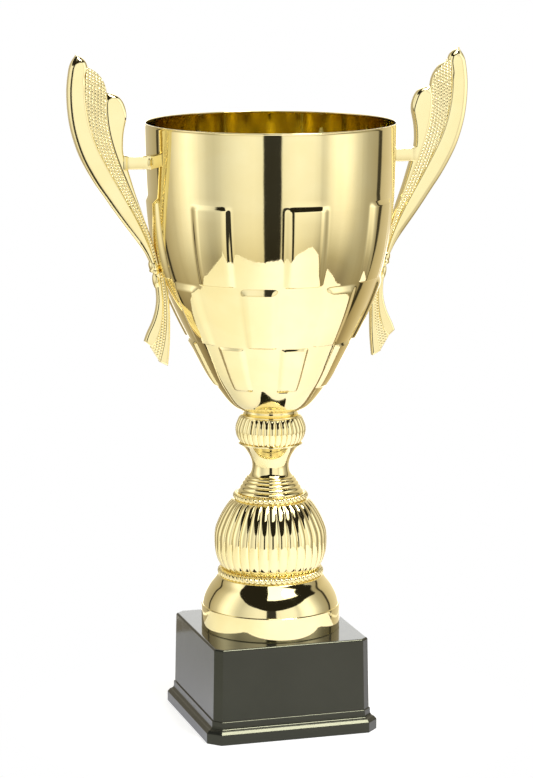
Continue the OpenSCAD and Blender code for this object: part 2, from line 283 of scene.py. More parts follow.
def plinth_material():
    m, g, b, co = new_material("black_plinth")
    shade = g.noise(co, 18.0, 3.0, 0.55)
    g.put(b.inputs["Base Color"], g.mix(g.ramp_to(shade, 0.3, 0.7), (0.0150, 0.0155, 0.0125, 1), (0.0195, 0.0200, 0.0160, 1)))
    haze = g.noise(co, 70.0, 5.0, 0.62, 0.5)
    scuff = g.noise(co, 900.0, 2.0, 0.5)
    g.put(b.inputs["Roughness"], g.math("ADD", g.ramp_to(haze, 0.3, 0.7, 0.085, 0.15), g.ramp_to(scuff, 0.64, 0.8, 0.0, 0.08)))
    b.inputs["IOR"].default_value = 1.45
    b.inputs["Specular Tint"].default_value = (1.0, 1.0, 0.70, 1)
    bump = g.node("ShaderNodeBump")
    bump.inputs["Strength"].default_value = 0.12
    bump.inputs["Distance"].default_value = 0.0003
    g.put(bump.inputs["Height"], g.noise(co, 60.0, 2.0, 0.5))
    fine = g.node("ShaderNodeBump")
    fine.inputs["Strength"].default_value = 0.15
    fine.inputs["Distance"].default_value = 0.00004
    g.put(fine.inputs["Height"], g.noise(co, 1100.0, 2.0, 0.5))
    g.put(fine.inputs["Normal"], bump.outputs["Normal"])
    g.put(b.inputs["Normal"], fine.outputs["Normal"])
    return m


def steel_material():
    m, g, b, co = new_material("zinc_steel")
    b.inputs["Metallic"].default_value = 1.0
    sp = g.noise(co, 420.0, 4.0, 0.6, 0.4)
    g.put(b.inputs["Base Color"], g.mix(g.ramp_to(sp, 0.3, 0.7), (0.56, 0.57, 0.58, 1), (0.70, 0.70, 0.68, 1)))
    g.put(b.inputs["Roughness"], g.ramp_to(g.noise(co, 900.0, 3.0, 0.6), 0.3, 0.7, 0.22, 0.42))
    bump = g.node("ShaderNodeBump")
    bump.inputs["Strength"].default_value = 0.35
    bump.inputs["Distance"].default_value = 0.00005
    st = g.node("ShaderNodeMapping")
    st.inputs["Scale"].default_value = (1.0, 1.0, 9.0)
    g.put(st.inputs["Vector"], co)
    g.put(bump.inputs["Height"], g.noise(st.outputs["Vector"], 1300.0, 2.0, 0.5))
    g.put(b.inputs["Normal"], bump.outputs["Normal"])
    return m


def iron_material():
    m, g, b, co = new_material("ballast_iron")
    b.inputs["Metallic"].default_value = 0.85
    rust = g.noise(co, 70.0, 6.0, 0.65, 0.6)
    g.put(b.inputs["Base Color"], g.mix(g.ramp_to(rust, 0.48, 0.68), (0.11, 0.11, 0.115, 1), (0.17, 0.085, 0.045, 1)))
    g.put(b.inputs["Roughness"], g.ramp_to(rust, 0.3, 0.7, 0.5, 0.85))
    bump = g.node("ShaderNodeBump")
    bump.inputs["Strength"].default_value = 0.6
    bump.inputs["Distance"].default_value = 0.0004
    g.put(bump.inputs["Height"], g.noise(co, 380.0, 5.0, 0.65))
    g.put(b.inputs["Normal"], bump.outputs["Normal"])
    return m


def board_material():
    m, g, b, co = new_material("cover_board")
    st = g.node("ShaderNodeMapping")
    st.inputs["Scale"].default_value = (1.0, 12.0, 12.0)
    g.put(st.inputs["Vector"], co)
    fibre = g.noise(st.outputs["Vector"], 90.0, 6.0, 0.65, 0.8)
    g.put(b.inputs["Base Color"], g.mix(g.ramp_to(fibre, 0.3, 0.7), (0.16, 0.085, 0.04, 1), (0.29, 0.17, 0.085, 1)))
    g.put(b.inputs["Roughness"], g.ramp_to(fibre, 0.3, 0.7, 0.62, 0.8))
    bump = g.node("ShaderNodeBump")
    bump.inputs["Strength"].default_value = 0.4
    bump.inputs["Distance"].default_value = 0.0002
    g.put(bump.inputs["Height"], fibre)
    g.put(b.inputs["Normal"], bump.outputs["Normal"])
    return m


def felt_material():
    m, g, b, co = new_material("base_felt")
    tuft = g.noise(co, 650.0, 6.0, 0.7, 1.2)
    mott = g.noise(co, 60.0, 3.0, 0.5)
    c = g.mix(g.ramp_to(tuft, 0.3, 0.7), (0.010, 0.036, 0.022, 1), (0.028, 0.080, 0.050, 1))
    g.put(b.inputs["Base Color"], g.mix(g.ramp_to(mott, 0.3, 0.7, 0.0, 0.25), c, (0.04, 0.095, 0.06, 1)))
    g.put(b.inputs["Roughness"], g.ramp_to(tuft, 0.3, 0.7, 0.86, 0.98))
    b.inputs["Sheen Weight"].default_value = 0.45
    b.inputs["Sheen Roughness"].default_value = 0.5
    bump = g.node("ShaderNodeBump")
    bump.inputs["Strength"].default_value = 0.8
    bump.inputs["Distance"].default_value = 0.0004
    g.put(bump.inputs["Height"], tuft)
    g.put(b.inputs["Normal"], bump.outputs["Normal"])
    return m


M_PLINTH = plinth_material()
M_STEEL = steel_material()
M_IRON = iron_material()
M_BOARD = board_material()
M_FELT = felt_material()

# ---------------------------------------------------------------- the cup
CUP = [[22.6, 259.3], [28.2, 260.8], [32.6, 264], [37.9, 270], [45.2, 280], [51.8, 290], [59.5, 305], [67.3, 320],
       [74.6, 335], [81.6, 350], [87.0, 365], [91.4, 380], [94.6, 395], [97.0, 410], [98.6, 425], [99.7, 440],
       [100.5, 460], [101.0, 480], [101.2, 493]]
SHEET = 1.0


def fair(points, n=700):
    """The curve through points, evened so that its curvature changes slowly: a mirror shows every wobble."""
    P = even(points, n)
    D = np.zeros((n - 3, n))
    for i in range(n - 3):
        D[i, i:i + 4] = (-1, 3, -3, 1)
    z = P[:n - 3, 1]
    lam = 10 ** np.interp(z, [259, 266, 280, 330, 490], [3.6, 4.6, 6.2, 8.2, 8.8])
    W = np.ones(n)
    W[:3] = W[-3:] = 1e4
    K = D.T @ (lam[:, None] * D)
    return np.linalg.solve(np.diag(W) + K, W[:, None] * P)


CUP_LINE = fair(CUP)
CUP_S = np.concatenate([[0], np.cumsum(np.linalg.norm(np.diff(CUP_LINE, axis=0), axis=1))])


def cup_at(s):
    return np.stack([np.interp(s, CUP_S, CUP_LINE[:, 0]), np.interp(s, CUP_S, CUP_LINE[:, 1])], -1)


def cup_normal(s):
    d = cup_at(np.clip(s + 0.6, 0, CUP_S[-1])) - cup_at(np.clip(s - 0.6, 0, CUP_S[-1]))
    d /= np.linalg.norm(d, axis=-1, keepdims=True)
    return np.stack([d[..., 1], -d[..., 0]], -1)


def s_of_z(z):
    return float(np.interp(z, CUP_LINE[:, 1], CUP_S))


COL = math.radians(22.5)
# rings of panels: low z, high z, the first panel's centre turned from the front, foot width at the bottom
RINGS = [(370.8, 436.5, 0.0, 2.2), (319.6, 370.8, COL, 2.2), (280.6, 319.6, 0.0, 3.6)]
EDGE_A, EDGE_B = 0.32, 0.42
EDGE_AREA = EDGE_A / 2 + (EDGE_B - EDGE_A) + (1 - EDGE_B) / 2


def edge_profile(t):
    """Height across a panel's slope from its foot (0) to its shoulder (1): fillet, straight, shoulder."""
    t = np.clip(t, 0, 1)
    p = np.where(t < EDGE_A, t * t / (2 * EDGE_A),
                 np.where(t < EDGE_B, EDGE_A / 2 + (t - EDGE_A),
                          EDGE_A / 2 + (EDGE_B - EDGE_A) + (1 - EDGE_B) / 2 - (1 - t) ** 2 / (2 * (1 - EDGE_B))))
    return p / EDGE_AREA


def ledge_profile(t):
    """The crisper ledge over the top and bottom rings: a nearly straight slope."""
    t = np.clip(t, 0, 1)
    a, b = 0.14, 0.74
    p = np.where(t < a, t * t / (2 * a), np.where(t < b, a / 2 + (t - a), a / 2 + (b - a) + (1 - b) / 2 - (1 - t) ** 2 / (2 * (1 - b))))
    return p / (a / 2 + (b - a) + (1 - b) / 2)


def panel_height(r):
    return np.interp(r, [45, 70, 88, 95.5, 97.6, 99.4], [1.4, 1.9, 2.15, 2.62, 2.5, 2.3])


def emboss(theta, s):
    """Height of the pressed panels over the cup wall. theta from +X."""
    r = np.interp(s, CUP_S, CUP_LINE[:, 0])
    out = np.zeros(np.broadcast(theta, s).shape)
    for lo, hi, first, foot in RINGS:
        a, b = s_of_z(lo), s_of_z(hi)
        phi = (theta + math.pi / 2 - first + COL) % (2 * COL) - COL   # from the nearest panel's centre
        wx = 0.255 * COL * r
        wy = 5.1 if hi > 400 else (6.6 if hi > 330 else 2.05)
        px = edge_profile(r * (COL / 2 - np.abs(phi)) / wx)
        top = edge_profile((b - s) / wy) if 330 < hi < 400 else ledge_profile((b - s) / wy)
        out = np.maximum(out, panel_height(r) * px * np.minimum(top, edge_profile((s - a) / foot)))
    return out


def spread(a, b, n, end=False):
    return list(np.linspace(a, b, n, endpoint=end))


def make_bowl():
    th = []
    for c in range(16):
        a = -math.pi / 2 - COL / 2 + c * COL
        th += spread(a, a + 0.26 * COL, 12) + spread(a + 0.26 * COL, a + 0.74 * COL, 5) + spread(a + 0.74 * COL, a + COL, 12)
    th = np.array(th)
    n = len(th)

    def rows(fine, coarse, top):
        s = []
        z = s_of_z
        s += spread(0, z(268), 2 * fine) + spread(z(268), z(280.6), fine)
        for lo, hi, first, foot in RINGS[::-1]:
            w = 5.1 if hi > 400 else (6.6 if hi > 330 else 2.05)
            a, b = z(lo), z(hi)
            s += spread(a, a + foot, fine - 3) + spread(a + foot, b - w, coarse) + spread(b - w, b, fine + 2)
        s += spread(z(436.5), z(490.6), top, True)
        return np.array(s)

    outer = rows(10, 7, 12)
    inner = rows(6, 5, 8)
    V = []
    T = np.repeat(th[None, :], len(outer), 0)
    S = np.repeat(outer[:, None], n, 1)

    def shell(S, T, off):
        p, nn = cup_at(S), cup_normal(S)
        e = emboss(T, S) + off
        R = p[..., 0] + nn[..., 0] * e
        Z = p[..., 1] + nn[..., 1] * e
        return np.stack([R * np.cos(T), R * np.sin(T), Z], -1)

    def ring_at(r, z):
        return np.stack([r * np.cos(th), r * np.sin(th), np.full(n, z)], -1)[None]

    V.append(ring_at(4.4, 259.3))
    V.append(ring_at(13, 259.3))
    V.append(ring_at(20, 259.3))
    V.append(shell(S, T, 0.0))
    # rolled bead at the rim
    for k in range(11):
        a = math.radians(-48 + k * 25.5)
        V.append(ring_at(100.74 + 0.66 * math.cos(a), 492.3 + 0.66 * math.sin(a)))
    Si = np.repeat(inner[::-1][:, None], n, 1)
    Ti = np.repeat(th[None, :], len(inner), 0)
    V.append(shell(Si, Ti, -SHEET))
    V.append(ring_at(20, 260.3))
    V.append(ring_at(13, 260.3))
    V.append(ring_at(4.4, 260.3))
    A = np.concatenate(V)
    F = grid_faces(A.shape[0], n, wrap_r=True, wrap_c=True)
    ob = piece("cup_bowl", A.reshape(-1, 3), F, M_BOWL, "gold_sheet", ["bowl"], sharp=60)
    # the inside faces take the darker gilt: painted shade
    ob.data.materials.append(M_INSIDE_SHADED)
    first = 3 + len(outer) + 9
    ob.data.polygons.foreach_set("material_index", [1 if i // n >= first and i // n < A.shape[0] - 1 else 0 for i in range(len(F))])
    return ob


make_bowl()

# ---------------------------------------------------------------- stem
BORE = 4.4


def hollow(profile, wall=2.2, n=192, radial=None):
    """Turned moulding: outside profile from bottom to top, and the rod's bore."""
    p = np.asarray(profile, float)
    loop = np.concatenate([[[BORE, p[0][1]]], p, [[BORE, p[-1][1]]]])
    return revolve_loop(loop, n, radial)


def make_collar():
    prof = rounded([(24.6, 254.5, 0), (24.55, 255.3, 0.5), (22.6, 255.9, 0.7), (21.5, 257.2, 1.2), (21.5, 258.6, 0.5), (22, 259.3, 0)], steps=5)
    V, F = hollow(prof)
    piece("cup_collar", V, F, M_STEM, "gold_moulding", ["bowl_collar"])


def scallop(n_lobes, deep, r_max, z_lo, z_hi, taper_lo, taper_hi, phase=0.0):
    """Round-backed lobes that meet in sharp grooves and die out at both ends."""
    def radial(R, Z, T):
        x = np.abs((T * n_lobes / TAU + phase) % 1.0 * 2 - 1)
        groove = 0.58 * x ** 2 + 0.42 * x ** 6
        k = np.sqrt(1 - (1 - np.clip((Z - z_lo) / taper_lo, 0, 1)) ** 2) * np.sqrt(1 - (1 - np.clip((z_hi - Z) / taper_hi, 0, 1)) ** 2)
        return -deep * groove * k * R / r_max
    return radial


SMALL = [[25, 232], [26.5, 234.5], [27.9, 237.5], [28.6, 240.5], [28.8, 243], [28.6, 245], [28.1, 247], [27.2, 249.3], [26.2, 251.7], [24.4, 254.5]]
KNOP = [[39.4, 127], [42.4, 131.5], [44.6, 137], [45.9, 143.5], [46.2, 150], [45.9, 156.6], [44.9, 161.4], [43.35, 165.5],
        [41.5, 169.6], [39.4, 173.6], [37.2, 177.1], [34.2, 181.3], [30.8, 184.6]]


def make_knops():
    p = even(SMALL, 44)
    V, F = hollow(p, n=34 * 14, radial=scallop(34, 1.15, 28.8, 232.3, 253.6, 2.2, 2.2, 0.3))
    piece("small_fluted_knop", V, F, M_STEM, "gold_moulding", ["upper_knop"], sharp=75)
    p = even(KNOP, 70)
    V, F = hollow(p, n=34 * 16, radial=scallop(34, 1.5, 46.2, 127.3, 184.3, 4.0, 3.0, 0.3))
    piece("large_fluted_knop", V, F, M_STEM, "gold_moulding", ["main_knop"], sharp=75)


def make_neck():
    rings = []
    for z0, z1 in ((190.0, 193.3), (193.3, 196.6), (196.6, 199.9), (199.9, 202.3), (202.3, 203.9)):
        for t in np.linspace(-0.97, 0.97, 11):
            z = (z0 + z1) / 2 + (z1 - z0) / 2 * t
            rings.append((26.3 - 0.56 * (z - 190) + (z1 - z0) * 0.32 * math.sqrt(1 - t * t), z, 0))
    waist = even([[17.9, 204.1], [16.5, 205.8], [15.4, 208.8], [15.0, 212], [15.4, 215.8], [16.8, 219.8], [19.2, 223.8], [22.4, 227.6], [25.0, 230.0]], 44)
    top = [(26.3, 231.0, 0.5), (26.0, 232.0, 0)]
    prof = rounded(rings + [tuple(w) + (0,) for w in waist] + top, steps=4)
    V, F = hollow(prof, n=224)
    piece("waisted_neck", V, F, M_STEM, "gold_moulding", ["neck"], sharp=60)


def rope(r, z, tube, n, squash=1.0, slant=0.75, deep=0.60):
    """A twisted cord of n strands round the stem, as a closed tube."""
    per = 14
    N, m = n * per, 22
    th = np.arange(N) * TAU / N
    ps = np.arange(m) * TAU / m
    T, P = np.meshgrid(th, ps, indexing="ij")
    Pw = (P + math.pi) % TAU - math.pi                     # 0 faces outwards
    x = (T * n / TAU + np.sin(Pw / 2) * slant) % 1.0 * 2 - 1
    bulge = np.sqrt(np.clip(1 - (0.96 * x) ** 2, 0, 1))
    q = tube * (1 - deep * (1 - bulge))
    R = r + q * np.cos(P)
    Z = z + q * np.sin(P) * squash
    V = np.stack([R * np.cos(T), R * np.sin(T), Z], -1).reshape(-1, 3)
    return V, grid_faces(N, m, wrap_r=True, wrap_c=True, flip=False)


def make_ropes():
    for name, node, z0, z1, r, tube, n, top in (("lower_rope_ring", "lower_bead_ring", 121.0, 127.0, 40.6, 2.98, 60, 39.6),
                                                ("upper_rope_ring", "upper_bead_ring", 184.6, 190.0, 28.2, 2.68, 42, 27.2)):
        zc = (z0 + z1) / 2
        V1, F1 = rope(r, zc, tube, n)
        core = rounded([(r + 0.2, z0, 0), (r + 0.2, z0 + 0.5, 0.2), (r - 0.6, z0 + 1.2, 0.3), (r - 0.6, z1 - 1.2, 0.3), (top, z1 - 0.5, 0.2), (top, z1, 0)])
        V2, F2 = hollow(core, n=160)
        piece(name, *join([(V1, F1), (V2, F2)]), M_STEM, "gold_moulding", [node], sharp=75)


def make_dome():
    dome = even([[43.4, 121], [45.6, 117.6], [48.6, 113.8], [51.4, 109.4], [53.6, 105], [55, 101], [55.7, 97.4]], 60)
    foot = [(55.75, 97.0, 0.15), (56.5, 97.0, 0.25), (57.0, 96.5, 0.3), (57.0, 77.6, 0.3), (56.8, 77.0, 0)]
    rows = [(p[0], p[1], 0) for p in dome] + foot
    prof = rounded(rows, steps=4)
    V, F = hollow(prof[::-1], n=256)
    piece("domed_foot", V, F, M_STEM, "gold_moulding", ["foot_dome"], sharp=60)


make_collar()
make_knops()
make_neck()
make_ropes()
make_dome()


# ---------------------------------------------------------------- plinth
def cut_square(h, c, r=0.5, pad=0.35, steps=3):
    """Square with cut corners, each corner softened, with a support point on each side."""
    pts = [(h, h - c), (h - c, h), (c - h, h), (-h, h - c), (-h, c - h), (c - h, -h), (h - c, -h), (h, c - h)]
    P = [np.array(p, float) for p in pts]
    out = []
    for i in range(8):
        a, b, c2 = P[i - 1], P[i], P[(i + 1) % 8]
        u, v = (a - b) / np.linalg.norm(a - b), (c2 - b) / np.linalg.norm(c2 - b)
        ang = math.acos(float(np.clip(u @ v, -1, 1)))
        cut = r / math.tan(ang / 2)
        centre = b + (u + v) / np.linalg.norm(u + v) * (r / math.sin(ang / 2))
        p0, p1 = b + u * cut, b + v * cut
        a0, a1 = math.atan2(*(p0 - centre)[::-1]), math.atan2(*(p1 - centre)[::-1])
        d = (a1 - a0 + math.pi) % TAU - math.pi
        out.append(b + u * (cut + pad))
        for k in range(steps + 1):
            t = a0 + d * k / steps
            out.append(centre + r * np.array([math.cos(t), math.sin(t)]))
        out.append(b + v * (cut + pad))
    return np.array(out)


def make_plinth():
    lev = []   # (z, half width, cut corner)
    h, c = 72.0, 9.6
    lev += [(0.0, h - 0.5, c - 0.3), (0.15, h - 0.22, c - 0.15), (0.5, h, c), (0.9, h, c), (7.9, h, c), (8.2, h, c), (8.5, h - 0.10, c - 0.06),
            (8.75, h - 0.28, c - 0.16), (8.9, h - 0.406, c - 0.235), (10.6, h - 1.834, c - 1.07), (10.75, h - 1.96, c - 1.14), (10.85, h - 2.1, c - 1.22)]
    for k in range(2, 10):
        a = math.radians(90 * k / 10)
        lev.append((14.5 - 3.6 * math.cos(a), h - 2.1 - 2.9 * math.sin(a), c - 1.22 - 1.68 * math.sin(a)))
    lev += [(14.5, 67, 6.7), (14.9, 67, 6.7), (17.3, 67, 6.7), (17.6, 66.96, 6.68), (17.85, 66.75, 6.6), (17.95, 66.4, 6.4), (18.0, 66.0, 6.1), (18.4, 65.98, 6.1)]
    lev += [(75.3, 64.82, 5.75), (75.65, 64.8, 5.72), (75.95, 64.72, 5.7), (76.7, 64.1, 5.5), (76.9, 63.85, 5.4), (77.0, 63.4, 5.25), (77.0, 62.6, 5.0)]
    rings = [cut_square(w, k) for z, w, k in lev]
    m = len(rings[0])
    V = [np.column_stack([ring, np.full(m, z)]) for ring, (z, w, k) in zip(rings, lev)]
    inner = [(72.2, 61.6, 7.9), (4.4, 61.6, 7.9), (4.4, 61.9, 7.9), (4.4, 69.0, 8.0), (0.0, 69.0, 8.0), (0.0, 69.3, 8.1)]
    # inside: ceiling, walls down, ledge for the cover, recess, foot
    V_in = [np.column_stack([cut_square(w, k), np.full(m, z)]) for z, w, k in inner]
    allv = np.concatenate(V + V_in)
    F = grid_faces(len(V), m, wrap_c=True)
    n0 = len(V) * m
    F += [tuple(n0 + i for i in f) for f in grid_faces(len(V_in), m, wrap_c=True)]
    top = tuple((len(V) - 1) * m + i for i in range(m))
    ceil = tuple(n0 + i for i in range(m))[::-1]
    last = n0 + (len(V_in) - 1) * m
    foot = [(last + i, last + (i + 1) % m, (i + 1) % m, i) for i in range(m)]
    F += [top, ceil] + foot
    parts = [(allv, F)]
    # screw bosses in the corners of the hollow
    for x in (-56, 56):
        for y in (-56, 56):
            loop = rounded([(1.45, 4.4, 0), (5.0, 4.4, 0.2), (5.0, 72.4, 0), (1.45, 72.4, 0)], steps=2)
            v, f = revolve_loop(loop, 32)
            parts.append((v + np.array([x, y, 0]), f))
    return piece("plinth_block", *join(parts), M_PLINTH, "black_plinth", ["plinth"], sharp=32)


make_plinth()


# ---------------------------------------------------------------- handles
OUT_A = [[159.3, 548.6], [162.3, 544.6], [165.1, 535], [166.3, 525], [166.5, 515], [165.9, 505], [164.2, 493], [160.8, 480],
         [156.3, 468], [150.6, 457], [144.3, 446.5], [137, 436], [128.7, 424], [120, 412], [111, 400], [103.8, 389.5], [100, 382]]
OUT_B = [[159.3, 548.6], [155, 547.2], [151.6, 544], [150.2, 540], [152.2, 528], [152.7, 516], [151.5, 505], [148.5, 491],
         [143.5, 477], [136, 462], [126.5, 445], [116, 427], [107, 410], [100.5, 394], [97.4, 382]]
MID_B = [[149, 539], [144, 536], [139.2, 531], [136.6, 526], [135.2, 519], [135.4, 505], [134.3, 493], [131.5, 480],
         [126.5, 465], [119.5, 448], [112, 432], [105, 417], [99.6, 402], [96.5, 390], [95.6, 382]]
IN_B = [[134.4, 519], [129, 517.7], [124, 514.6], [120.7, 509], [119.5, 503.5], [119.9, 498], [121.6, 490], [122.6, 480],
        [122.4, 472], [119.2, 460], [116.2, 450], [113.2, 440], [109.8, 430], [106, 419], [102, 407], [98.4, 396], [94.5, 382]]
TAIL_A = [[98, 375], [95.8, 362], [95.2, 352], [96.8, 342], [100, 333], [103.4, 326], [105.4, 320.6]]
TAIL_B = [[92.6, 375], [91.2, 360], [90.8, 345], [92.6, 331], [96, 321], [99.4, 315.4]]
TAIL_C = [[91, 375], [88.4, 360], [87.6, 345], [88, 331], [90, 316], [93, 303.6]]
TAIL_D = [[89.6, 375], [86.4, 360], [85, 345], [84.8, 331], [85.2, 316], [86.6, 300]]


def drop_table(R, phi, rs):
    """How far a face falls back at distance d from its edge: a soft shoulder, then a small round."""
    a = R * math.sin(math.radians(phi))
    ds, out = [], []
    for t in (0, 18, 36, 54, 72, 90):
        ds.append(rs * (1 - math.cos(math.radians(t))))
    ds += [rs + (a - rs) * k / 7 for k in range(1, 8)]
    ds = np.array(ds)
    crown = np.where(ds < a, R - np.sqrt(np.maximum(R * R - np.maximum(a - ds, 0) ** 2, 0)), 0)
    edge = np.where(ds < rs, rs - np.sqrt(np.maximum(rs * rs - (rs - ds) ** 2, 0)), 0)
    return ds, crown + edge


def leaf(A, B, half, nu, shape_a, shape_b, start=0.0, stop=1.0, beads=None, nv_mid=6, thin=None, end_round=0.8, y_mid=0.0):
    """A solid leaf between two edge curves in the handle's plane. shape_a(u), shape_b(u) give (R, phi, rs) of the two shoulders."""
    fa, La = spline(A)
    fb, Lb = spline(B)
    da, db = even(A, 1500), even(B, 1500)
    us = np.linspace(start, stop, nu)
    rows = []
    for u in us:
        i = u * 1499
        a = np.array([np.interp(i, np.arange(1500), da[:, k]) for k in (0, 1)])
        b = np.array([np.interp(i, np.arange(1500), db[:, k]) for k in (0, 1)])
        w = max(float(np.linalg.norm(b - a)), 0.3)
        d = (b - a) / w
        T = half if thin is None else half * thin(u)
        dsa, dra = drop_table(*shape_a(u))
        dsb, drb = drop_table(*shape_b(u))
        k = min(1.0, w * 0.94 / (dsa[-1] + dsb[-1]))
        kt = min(1.0, 0.9 * T / max(dra.max(), drb.max()))
        dsa, dra, dsb, drb = dsa * k, dra * min(k, kt), dsb * k, drb * min(k, kt)
        mid = np.linspace(dsa[-1], w - dsb[-1], nv_mid + 2)[1:-1]
        dist = np.concatenate([dsa, mid, w - dsb[::-1]])
        drop = np.concatenate([dra, np.zeros(nv_mid), drb[::-1]])
        rows.append((a, d, dist, T - drop, T))
    nv = len(rows[0][2])
    front = np.zeros((nu, nv, 3))
    for i, (a, d, dist, y, T) in enumerate(rows):
        front[i, :, 0] = a[0] + d[0] * dist
        front[i, :, 2] = a[1] + d[1] * dist
        front[i, :, 1] = -y
    back = front.copy()
    back[:, :, 1] *= -1
    if beads is not None:
        lift = beads(front[:, :, 0], front[:, :, 2])
        fade = np.ones(nv)
        fade[:5] = 0
        fade[-5:] = 0
        front[:, :, 1] -= lift * fade
        back[:, :, 1] += lift * fade
    ring = np.concatenate([front, back[:, ::-1]], 1)      # one closed section per row
    ring[:, :, 1] += y_mid
    m = ring.shape[1]
    V = [ring]
    # rounded ends: shrink the first and last section a little
    out = []
    for which, i0 in ((0, 0), (1, nu - 1)):
        base = ring[i0]
        nxt = ring[1] if which == 0 else ring[nu - 2]
        away = base.mean(0) - nxt.mean(0)
        L = np.linalg.norm(away)
        away = away / L if L > 1e-6 else away
        away[1] = 0
        caps = []
        for t in (30, 60, 80):
            q = base.copy()
            q[:, 1] = y_mid + (q[:, 1] - y_mid) * (1 - (1 - math.cos(math.radians(t))) * min(0.5, end_round / max(half, 0.5)))
            q += away * end_round * math.sin(math.radians(t))
            caps.append(q)
        out.append(caps)
    A3 = np.concatenate([np.stack(out[0][::-1]), ring, np.stack(out[1])])
    R = A3.shape[0]
    F = grid_faces(R, m, wrap_c=True)
    # caps as strips across the section
    for row, flip in ((0, False), (R - 1, True)):
        for j in range(nv - 1):
            f = (row * m + j, row * m + j + 1, row * m + m - 2 - j, row * m + m - 1 - j)
            F.append(f if not flip else f[::-1])
    return A3.reshape(-1, 3), F


def bead_field(curve, pitch, height, radius):
    """Rows of small round beads that run beside a curve, staggered row by row."""
    pts = even(curve, 900)
    s = np.concatenate([[0], np.cumsum(np.linalg.norm(np.diff(pts, axis=0), axis=1))])

    def f(X, Z):
        q = np.stack([X.ravel(), Z.ravel()], 1)
        best_d = np.full(len(q), 1e9)
        best_s = np.zeros(len(q))
        for i in range(0, 900, 2):
            d = np.hypot(q[:, 0] - pts[i, 0], q[:, 1] - pts[i, 1])
            better = d < best_d
            best_d[better] = d[better]
            best_s[better] = s[i] + 0.0
        # refine the along-curve place with the tangent
        i = np.clip(np.searchsorted(s, best_s), 1, 898)
        tan = pts[i + 1] - pts[i - 1]
        tan /= np.linalg.norm(tan, axis=1, keepdims=True)
        rel = q - pts[i]
        along = s[i] + (rel * tan).sum(1)
        across = np.abs(rel[:, 0] * tan[:, 1] - rel[:, 1] * tan[:, 0])
        row = np.round((across - 0.5 * pitch) / pitch)
        dy = across - 0.5 * pitch - row * pitch
        ph = along / pitch + 0.5 * (row % 2)
        dx = (ph - np.round(ph)) * pitch
        r2 = (dx * dx + dy * dy) / radius ** 2
        return (height * np.sqrt(np.clip(1 - r2, 0, 1))).reshape(X.shape)

    return f


def blob(centre, radii, tilt=0.0, n=20, m=14, dent=0.0):
    """A closed rounded lump, tilted about Y."""
    th = np.arange(n) * TAU / n
    ph = np.linspace(-math.pi / 2, math.pi / 2, m)[1:-1]
    T, P = np.meshgrid(th, ph)
    k = 1 - dent * np.cos(T * 3 + P * 2) * np.cos(P)
    X = radii[0] * np.cos(P) * np.cos(T) * k
    Y = radii[1] * np.cos(P) * np.sin(T) * k
    Z = radii[2] * np.sin(P)
    V = np.stack([X, Y, Z], -1).reshape(-1, 3)
    V = np.concatenate([V, [[0, 0, -radii[2]], [0, 0, radii[2]]]])
    c, s = math.cos(tilt), math.sin(tilt)
    V = V @ np.array([[c, 0, s], [0, 1, 0], [-s, 0, c]]).T + np.array(centre)
    F = grid_faces(m - 2, n, wrap_c=True)
    b, t = len(V) - 2, len(V) - 1
    F += [(b, (j + 1) % n, j) for j in range(n)]
    F += [(t, (m - 3) * n + j, (m - 3) * n + (j + 1) % n) for j in range(n)]
    return V, F


def wrap_band(centre, rx, ry, width, thick, tilt):
    """A flattened ribbon wrapped once round the handle: a closed ring whose section is a soft oval."""
    N, m = 40, 10
    th = np.arange(N) * TAU / N
    ps = np.arange(m) * TAU / m
    T, P = np.meshgrid(th, ps, indexing="ij")
    q = thick * np.cos(P)
    X = (rx + q) * np.cos(T)
    Y = (ry + q) * np.sin(T)
    Z = width * np.sin(P) * (1 + 0.12 * np.cos(2 * T))
    V = np.stack([X, Y, Z], -1).reshape(-1, 3)
    c, s = math.cos(tilt), math.sin(tilt)
    V = V @ np.array([[c, 0, s], [0, 1, 0], [-s, 0, c]]).T + np.array(centre)
    return V, grid_faces(N, m, wrap_r=True, wrap_c=True)


def bar(x0, x1, z0, z1, hy, hz, r=0.9):
    """The arm from the handle to the cup wall, a rounded bar that flares a little at both ends."""
    def section(x, z, k):
        out = []
        a, b = hy * k, hz * k
        for cx, cz, a0 in ((1, 1, 0), (-1, 1, 90), (-1, -1, 180), (1, -1, 270)):
            out.append((cx * (a - r - 0.4) if a0 in (90, 270) else cx * a, cz * (b - r - 0.4) if a0 in (0, 180) else cz * b))
            for t in (0, 30, 60, 90):
                t = math.radians(a0 + t)
                out.append((cx * (a - r) + r * math.cos(t), cz * (b - r) + r * math.sin(t)))
        # keep the order of corner points monotone
        pts = []
        for i, (cx, cz, a0) in enumerate(((1, 1, 0), (-1, 1, 90), (-1, -1, 180), (1, -1, 270))):
            for t in (0, 30, 60, 90):
                t = math.radians(a0 + t)
                pts.append((cx * (a - r) + r * math.cos(t), cz * (b - r) + r * math.sin(t)))
        return np.array([[x, p[0], z + p[1]] for p in pts])
    S = []
    for t in np.linspace(0, 1, 17):
        k = 1 + 0.10 * (1 - ease(t, 0, 0.16)) + 0.16 * ease(t, 0.80, 1.0)
        S.append(section(x0 + (x1 - x0) * t, z0 + (z1 - z0) * t, k))
    A = np.stack(S)
    m = A.shape[1]
    F = grid_faces(len(S), m, wrap_c=True)
    F += [tuple(range(m))[::-1], tuple((len(S) - 1) * m + i for i in range(m))]
    return A.reshape(-1, 3), F


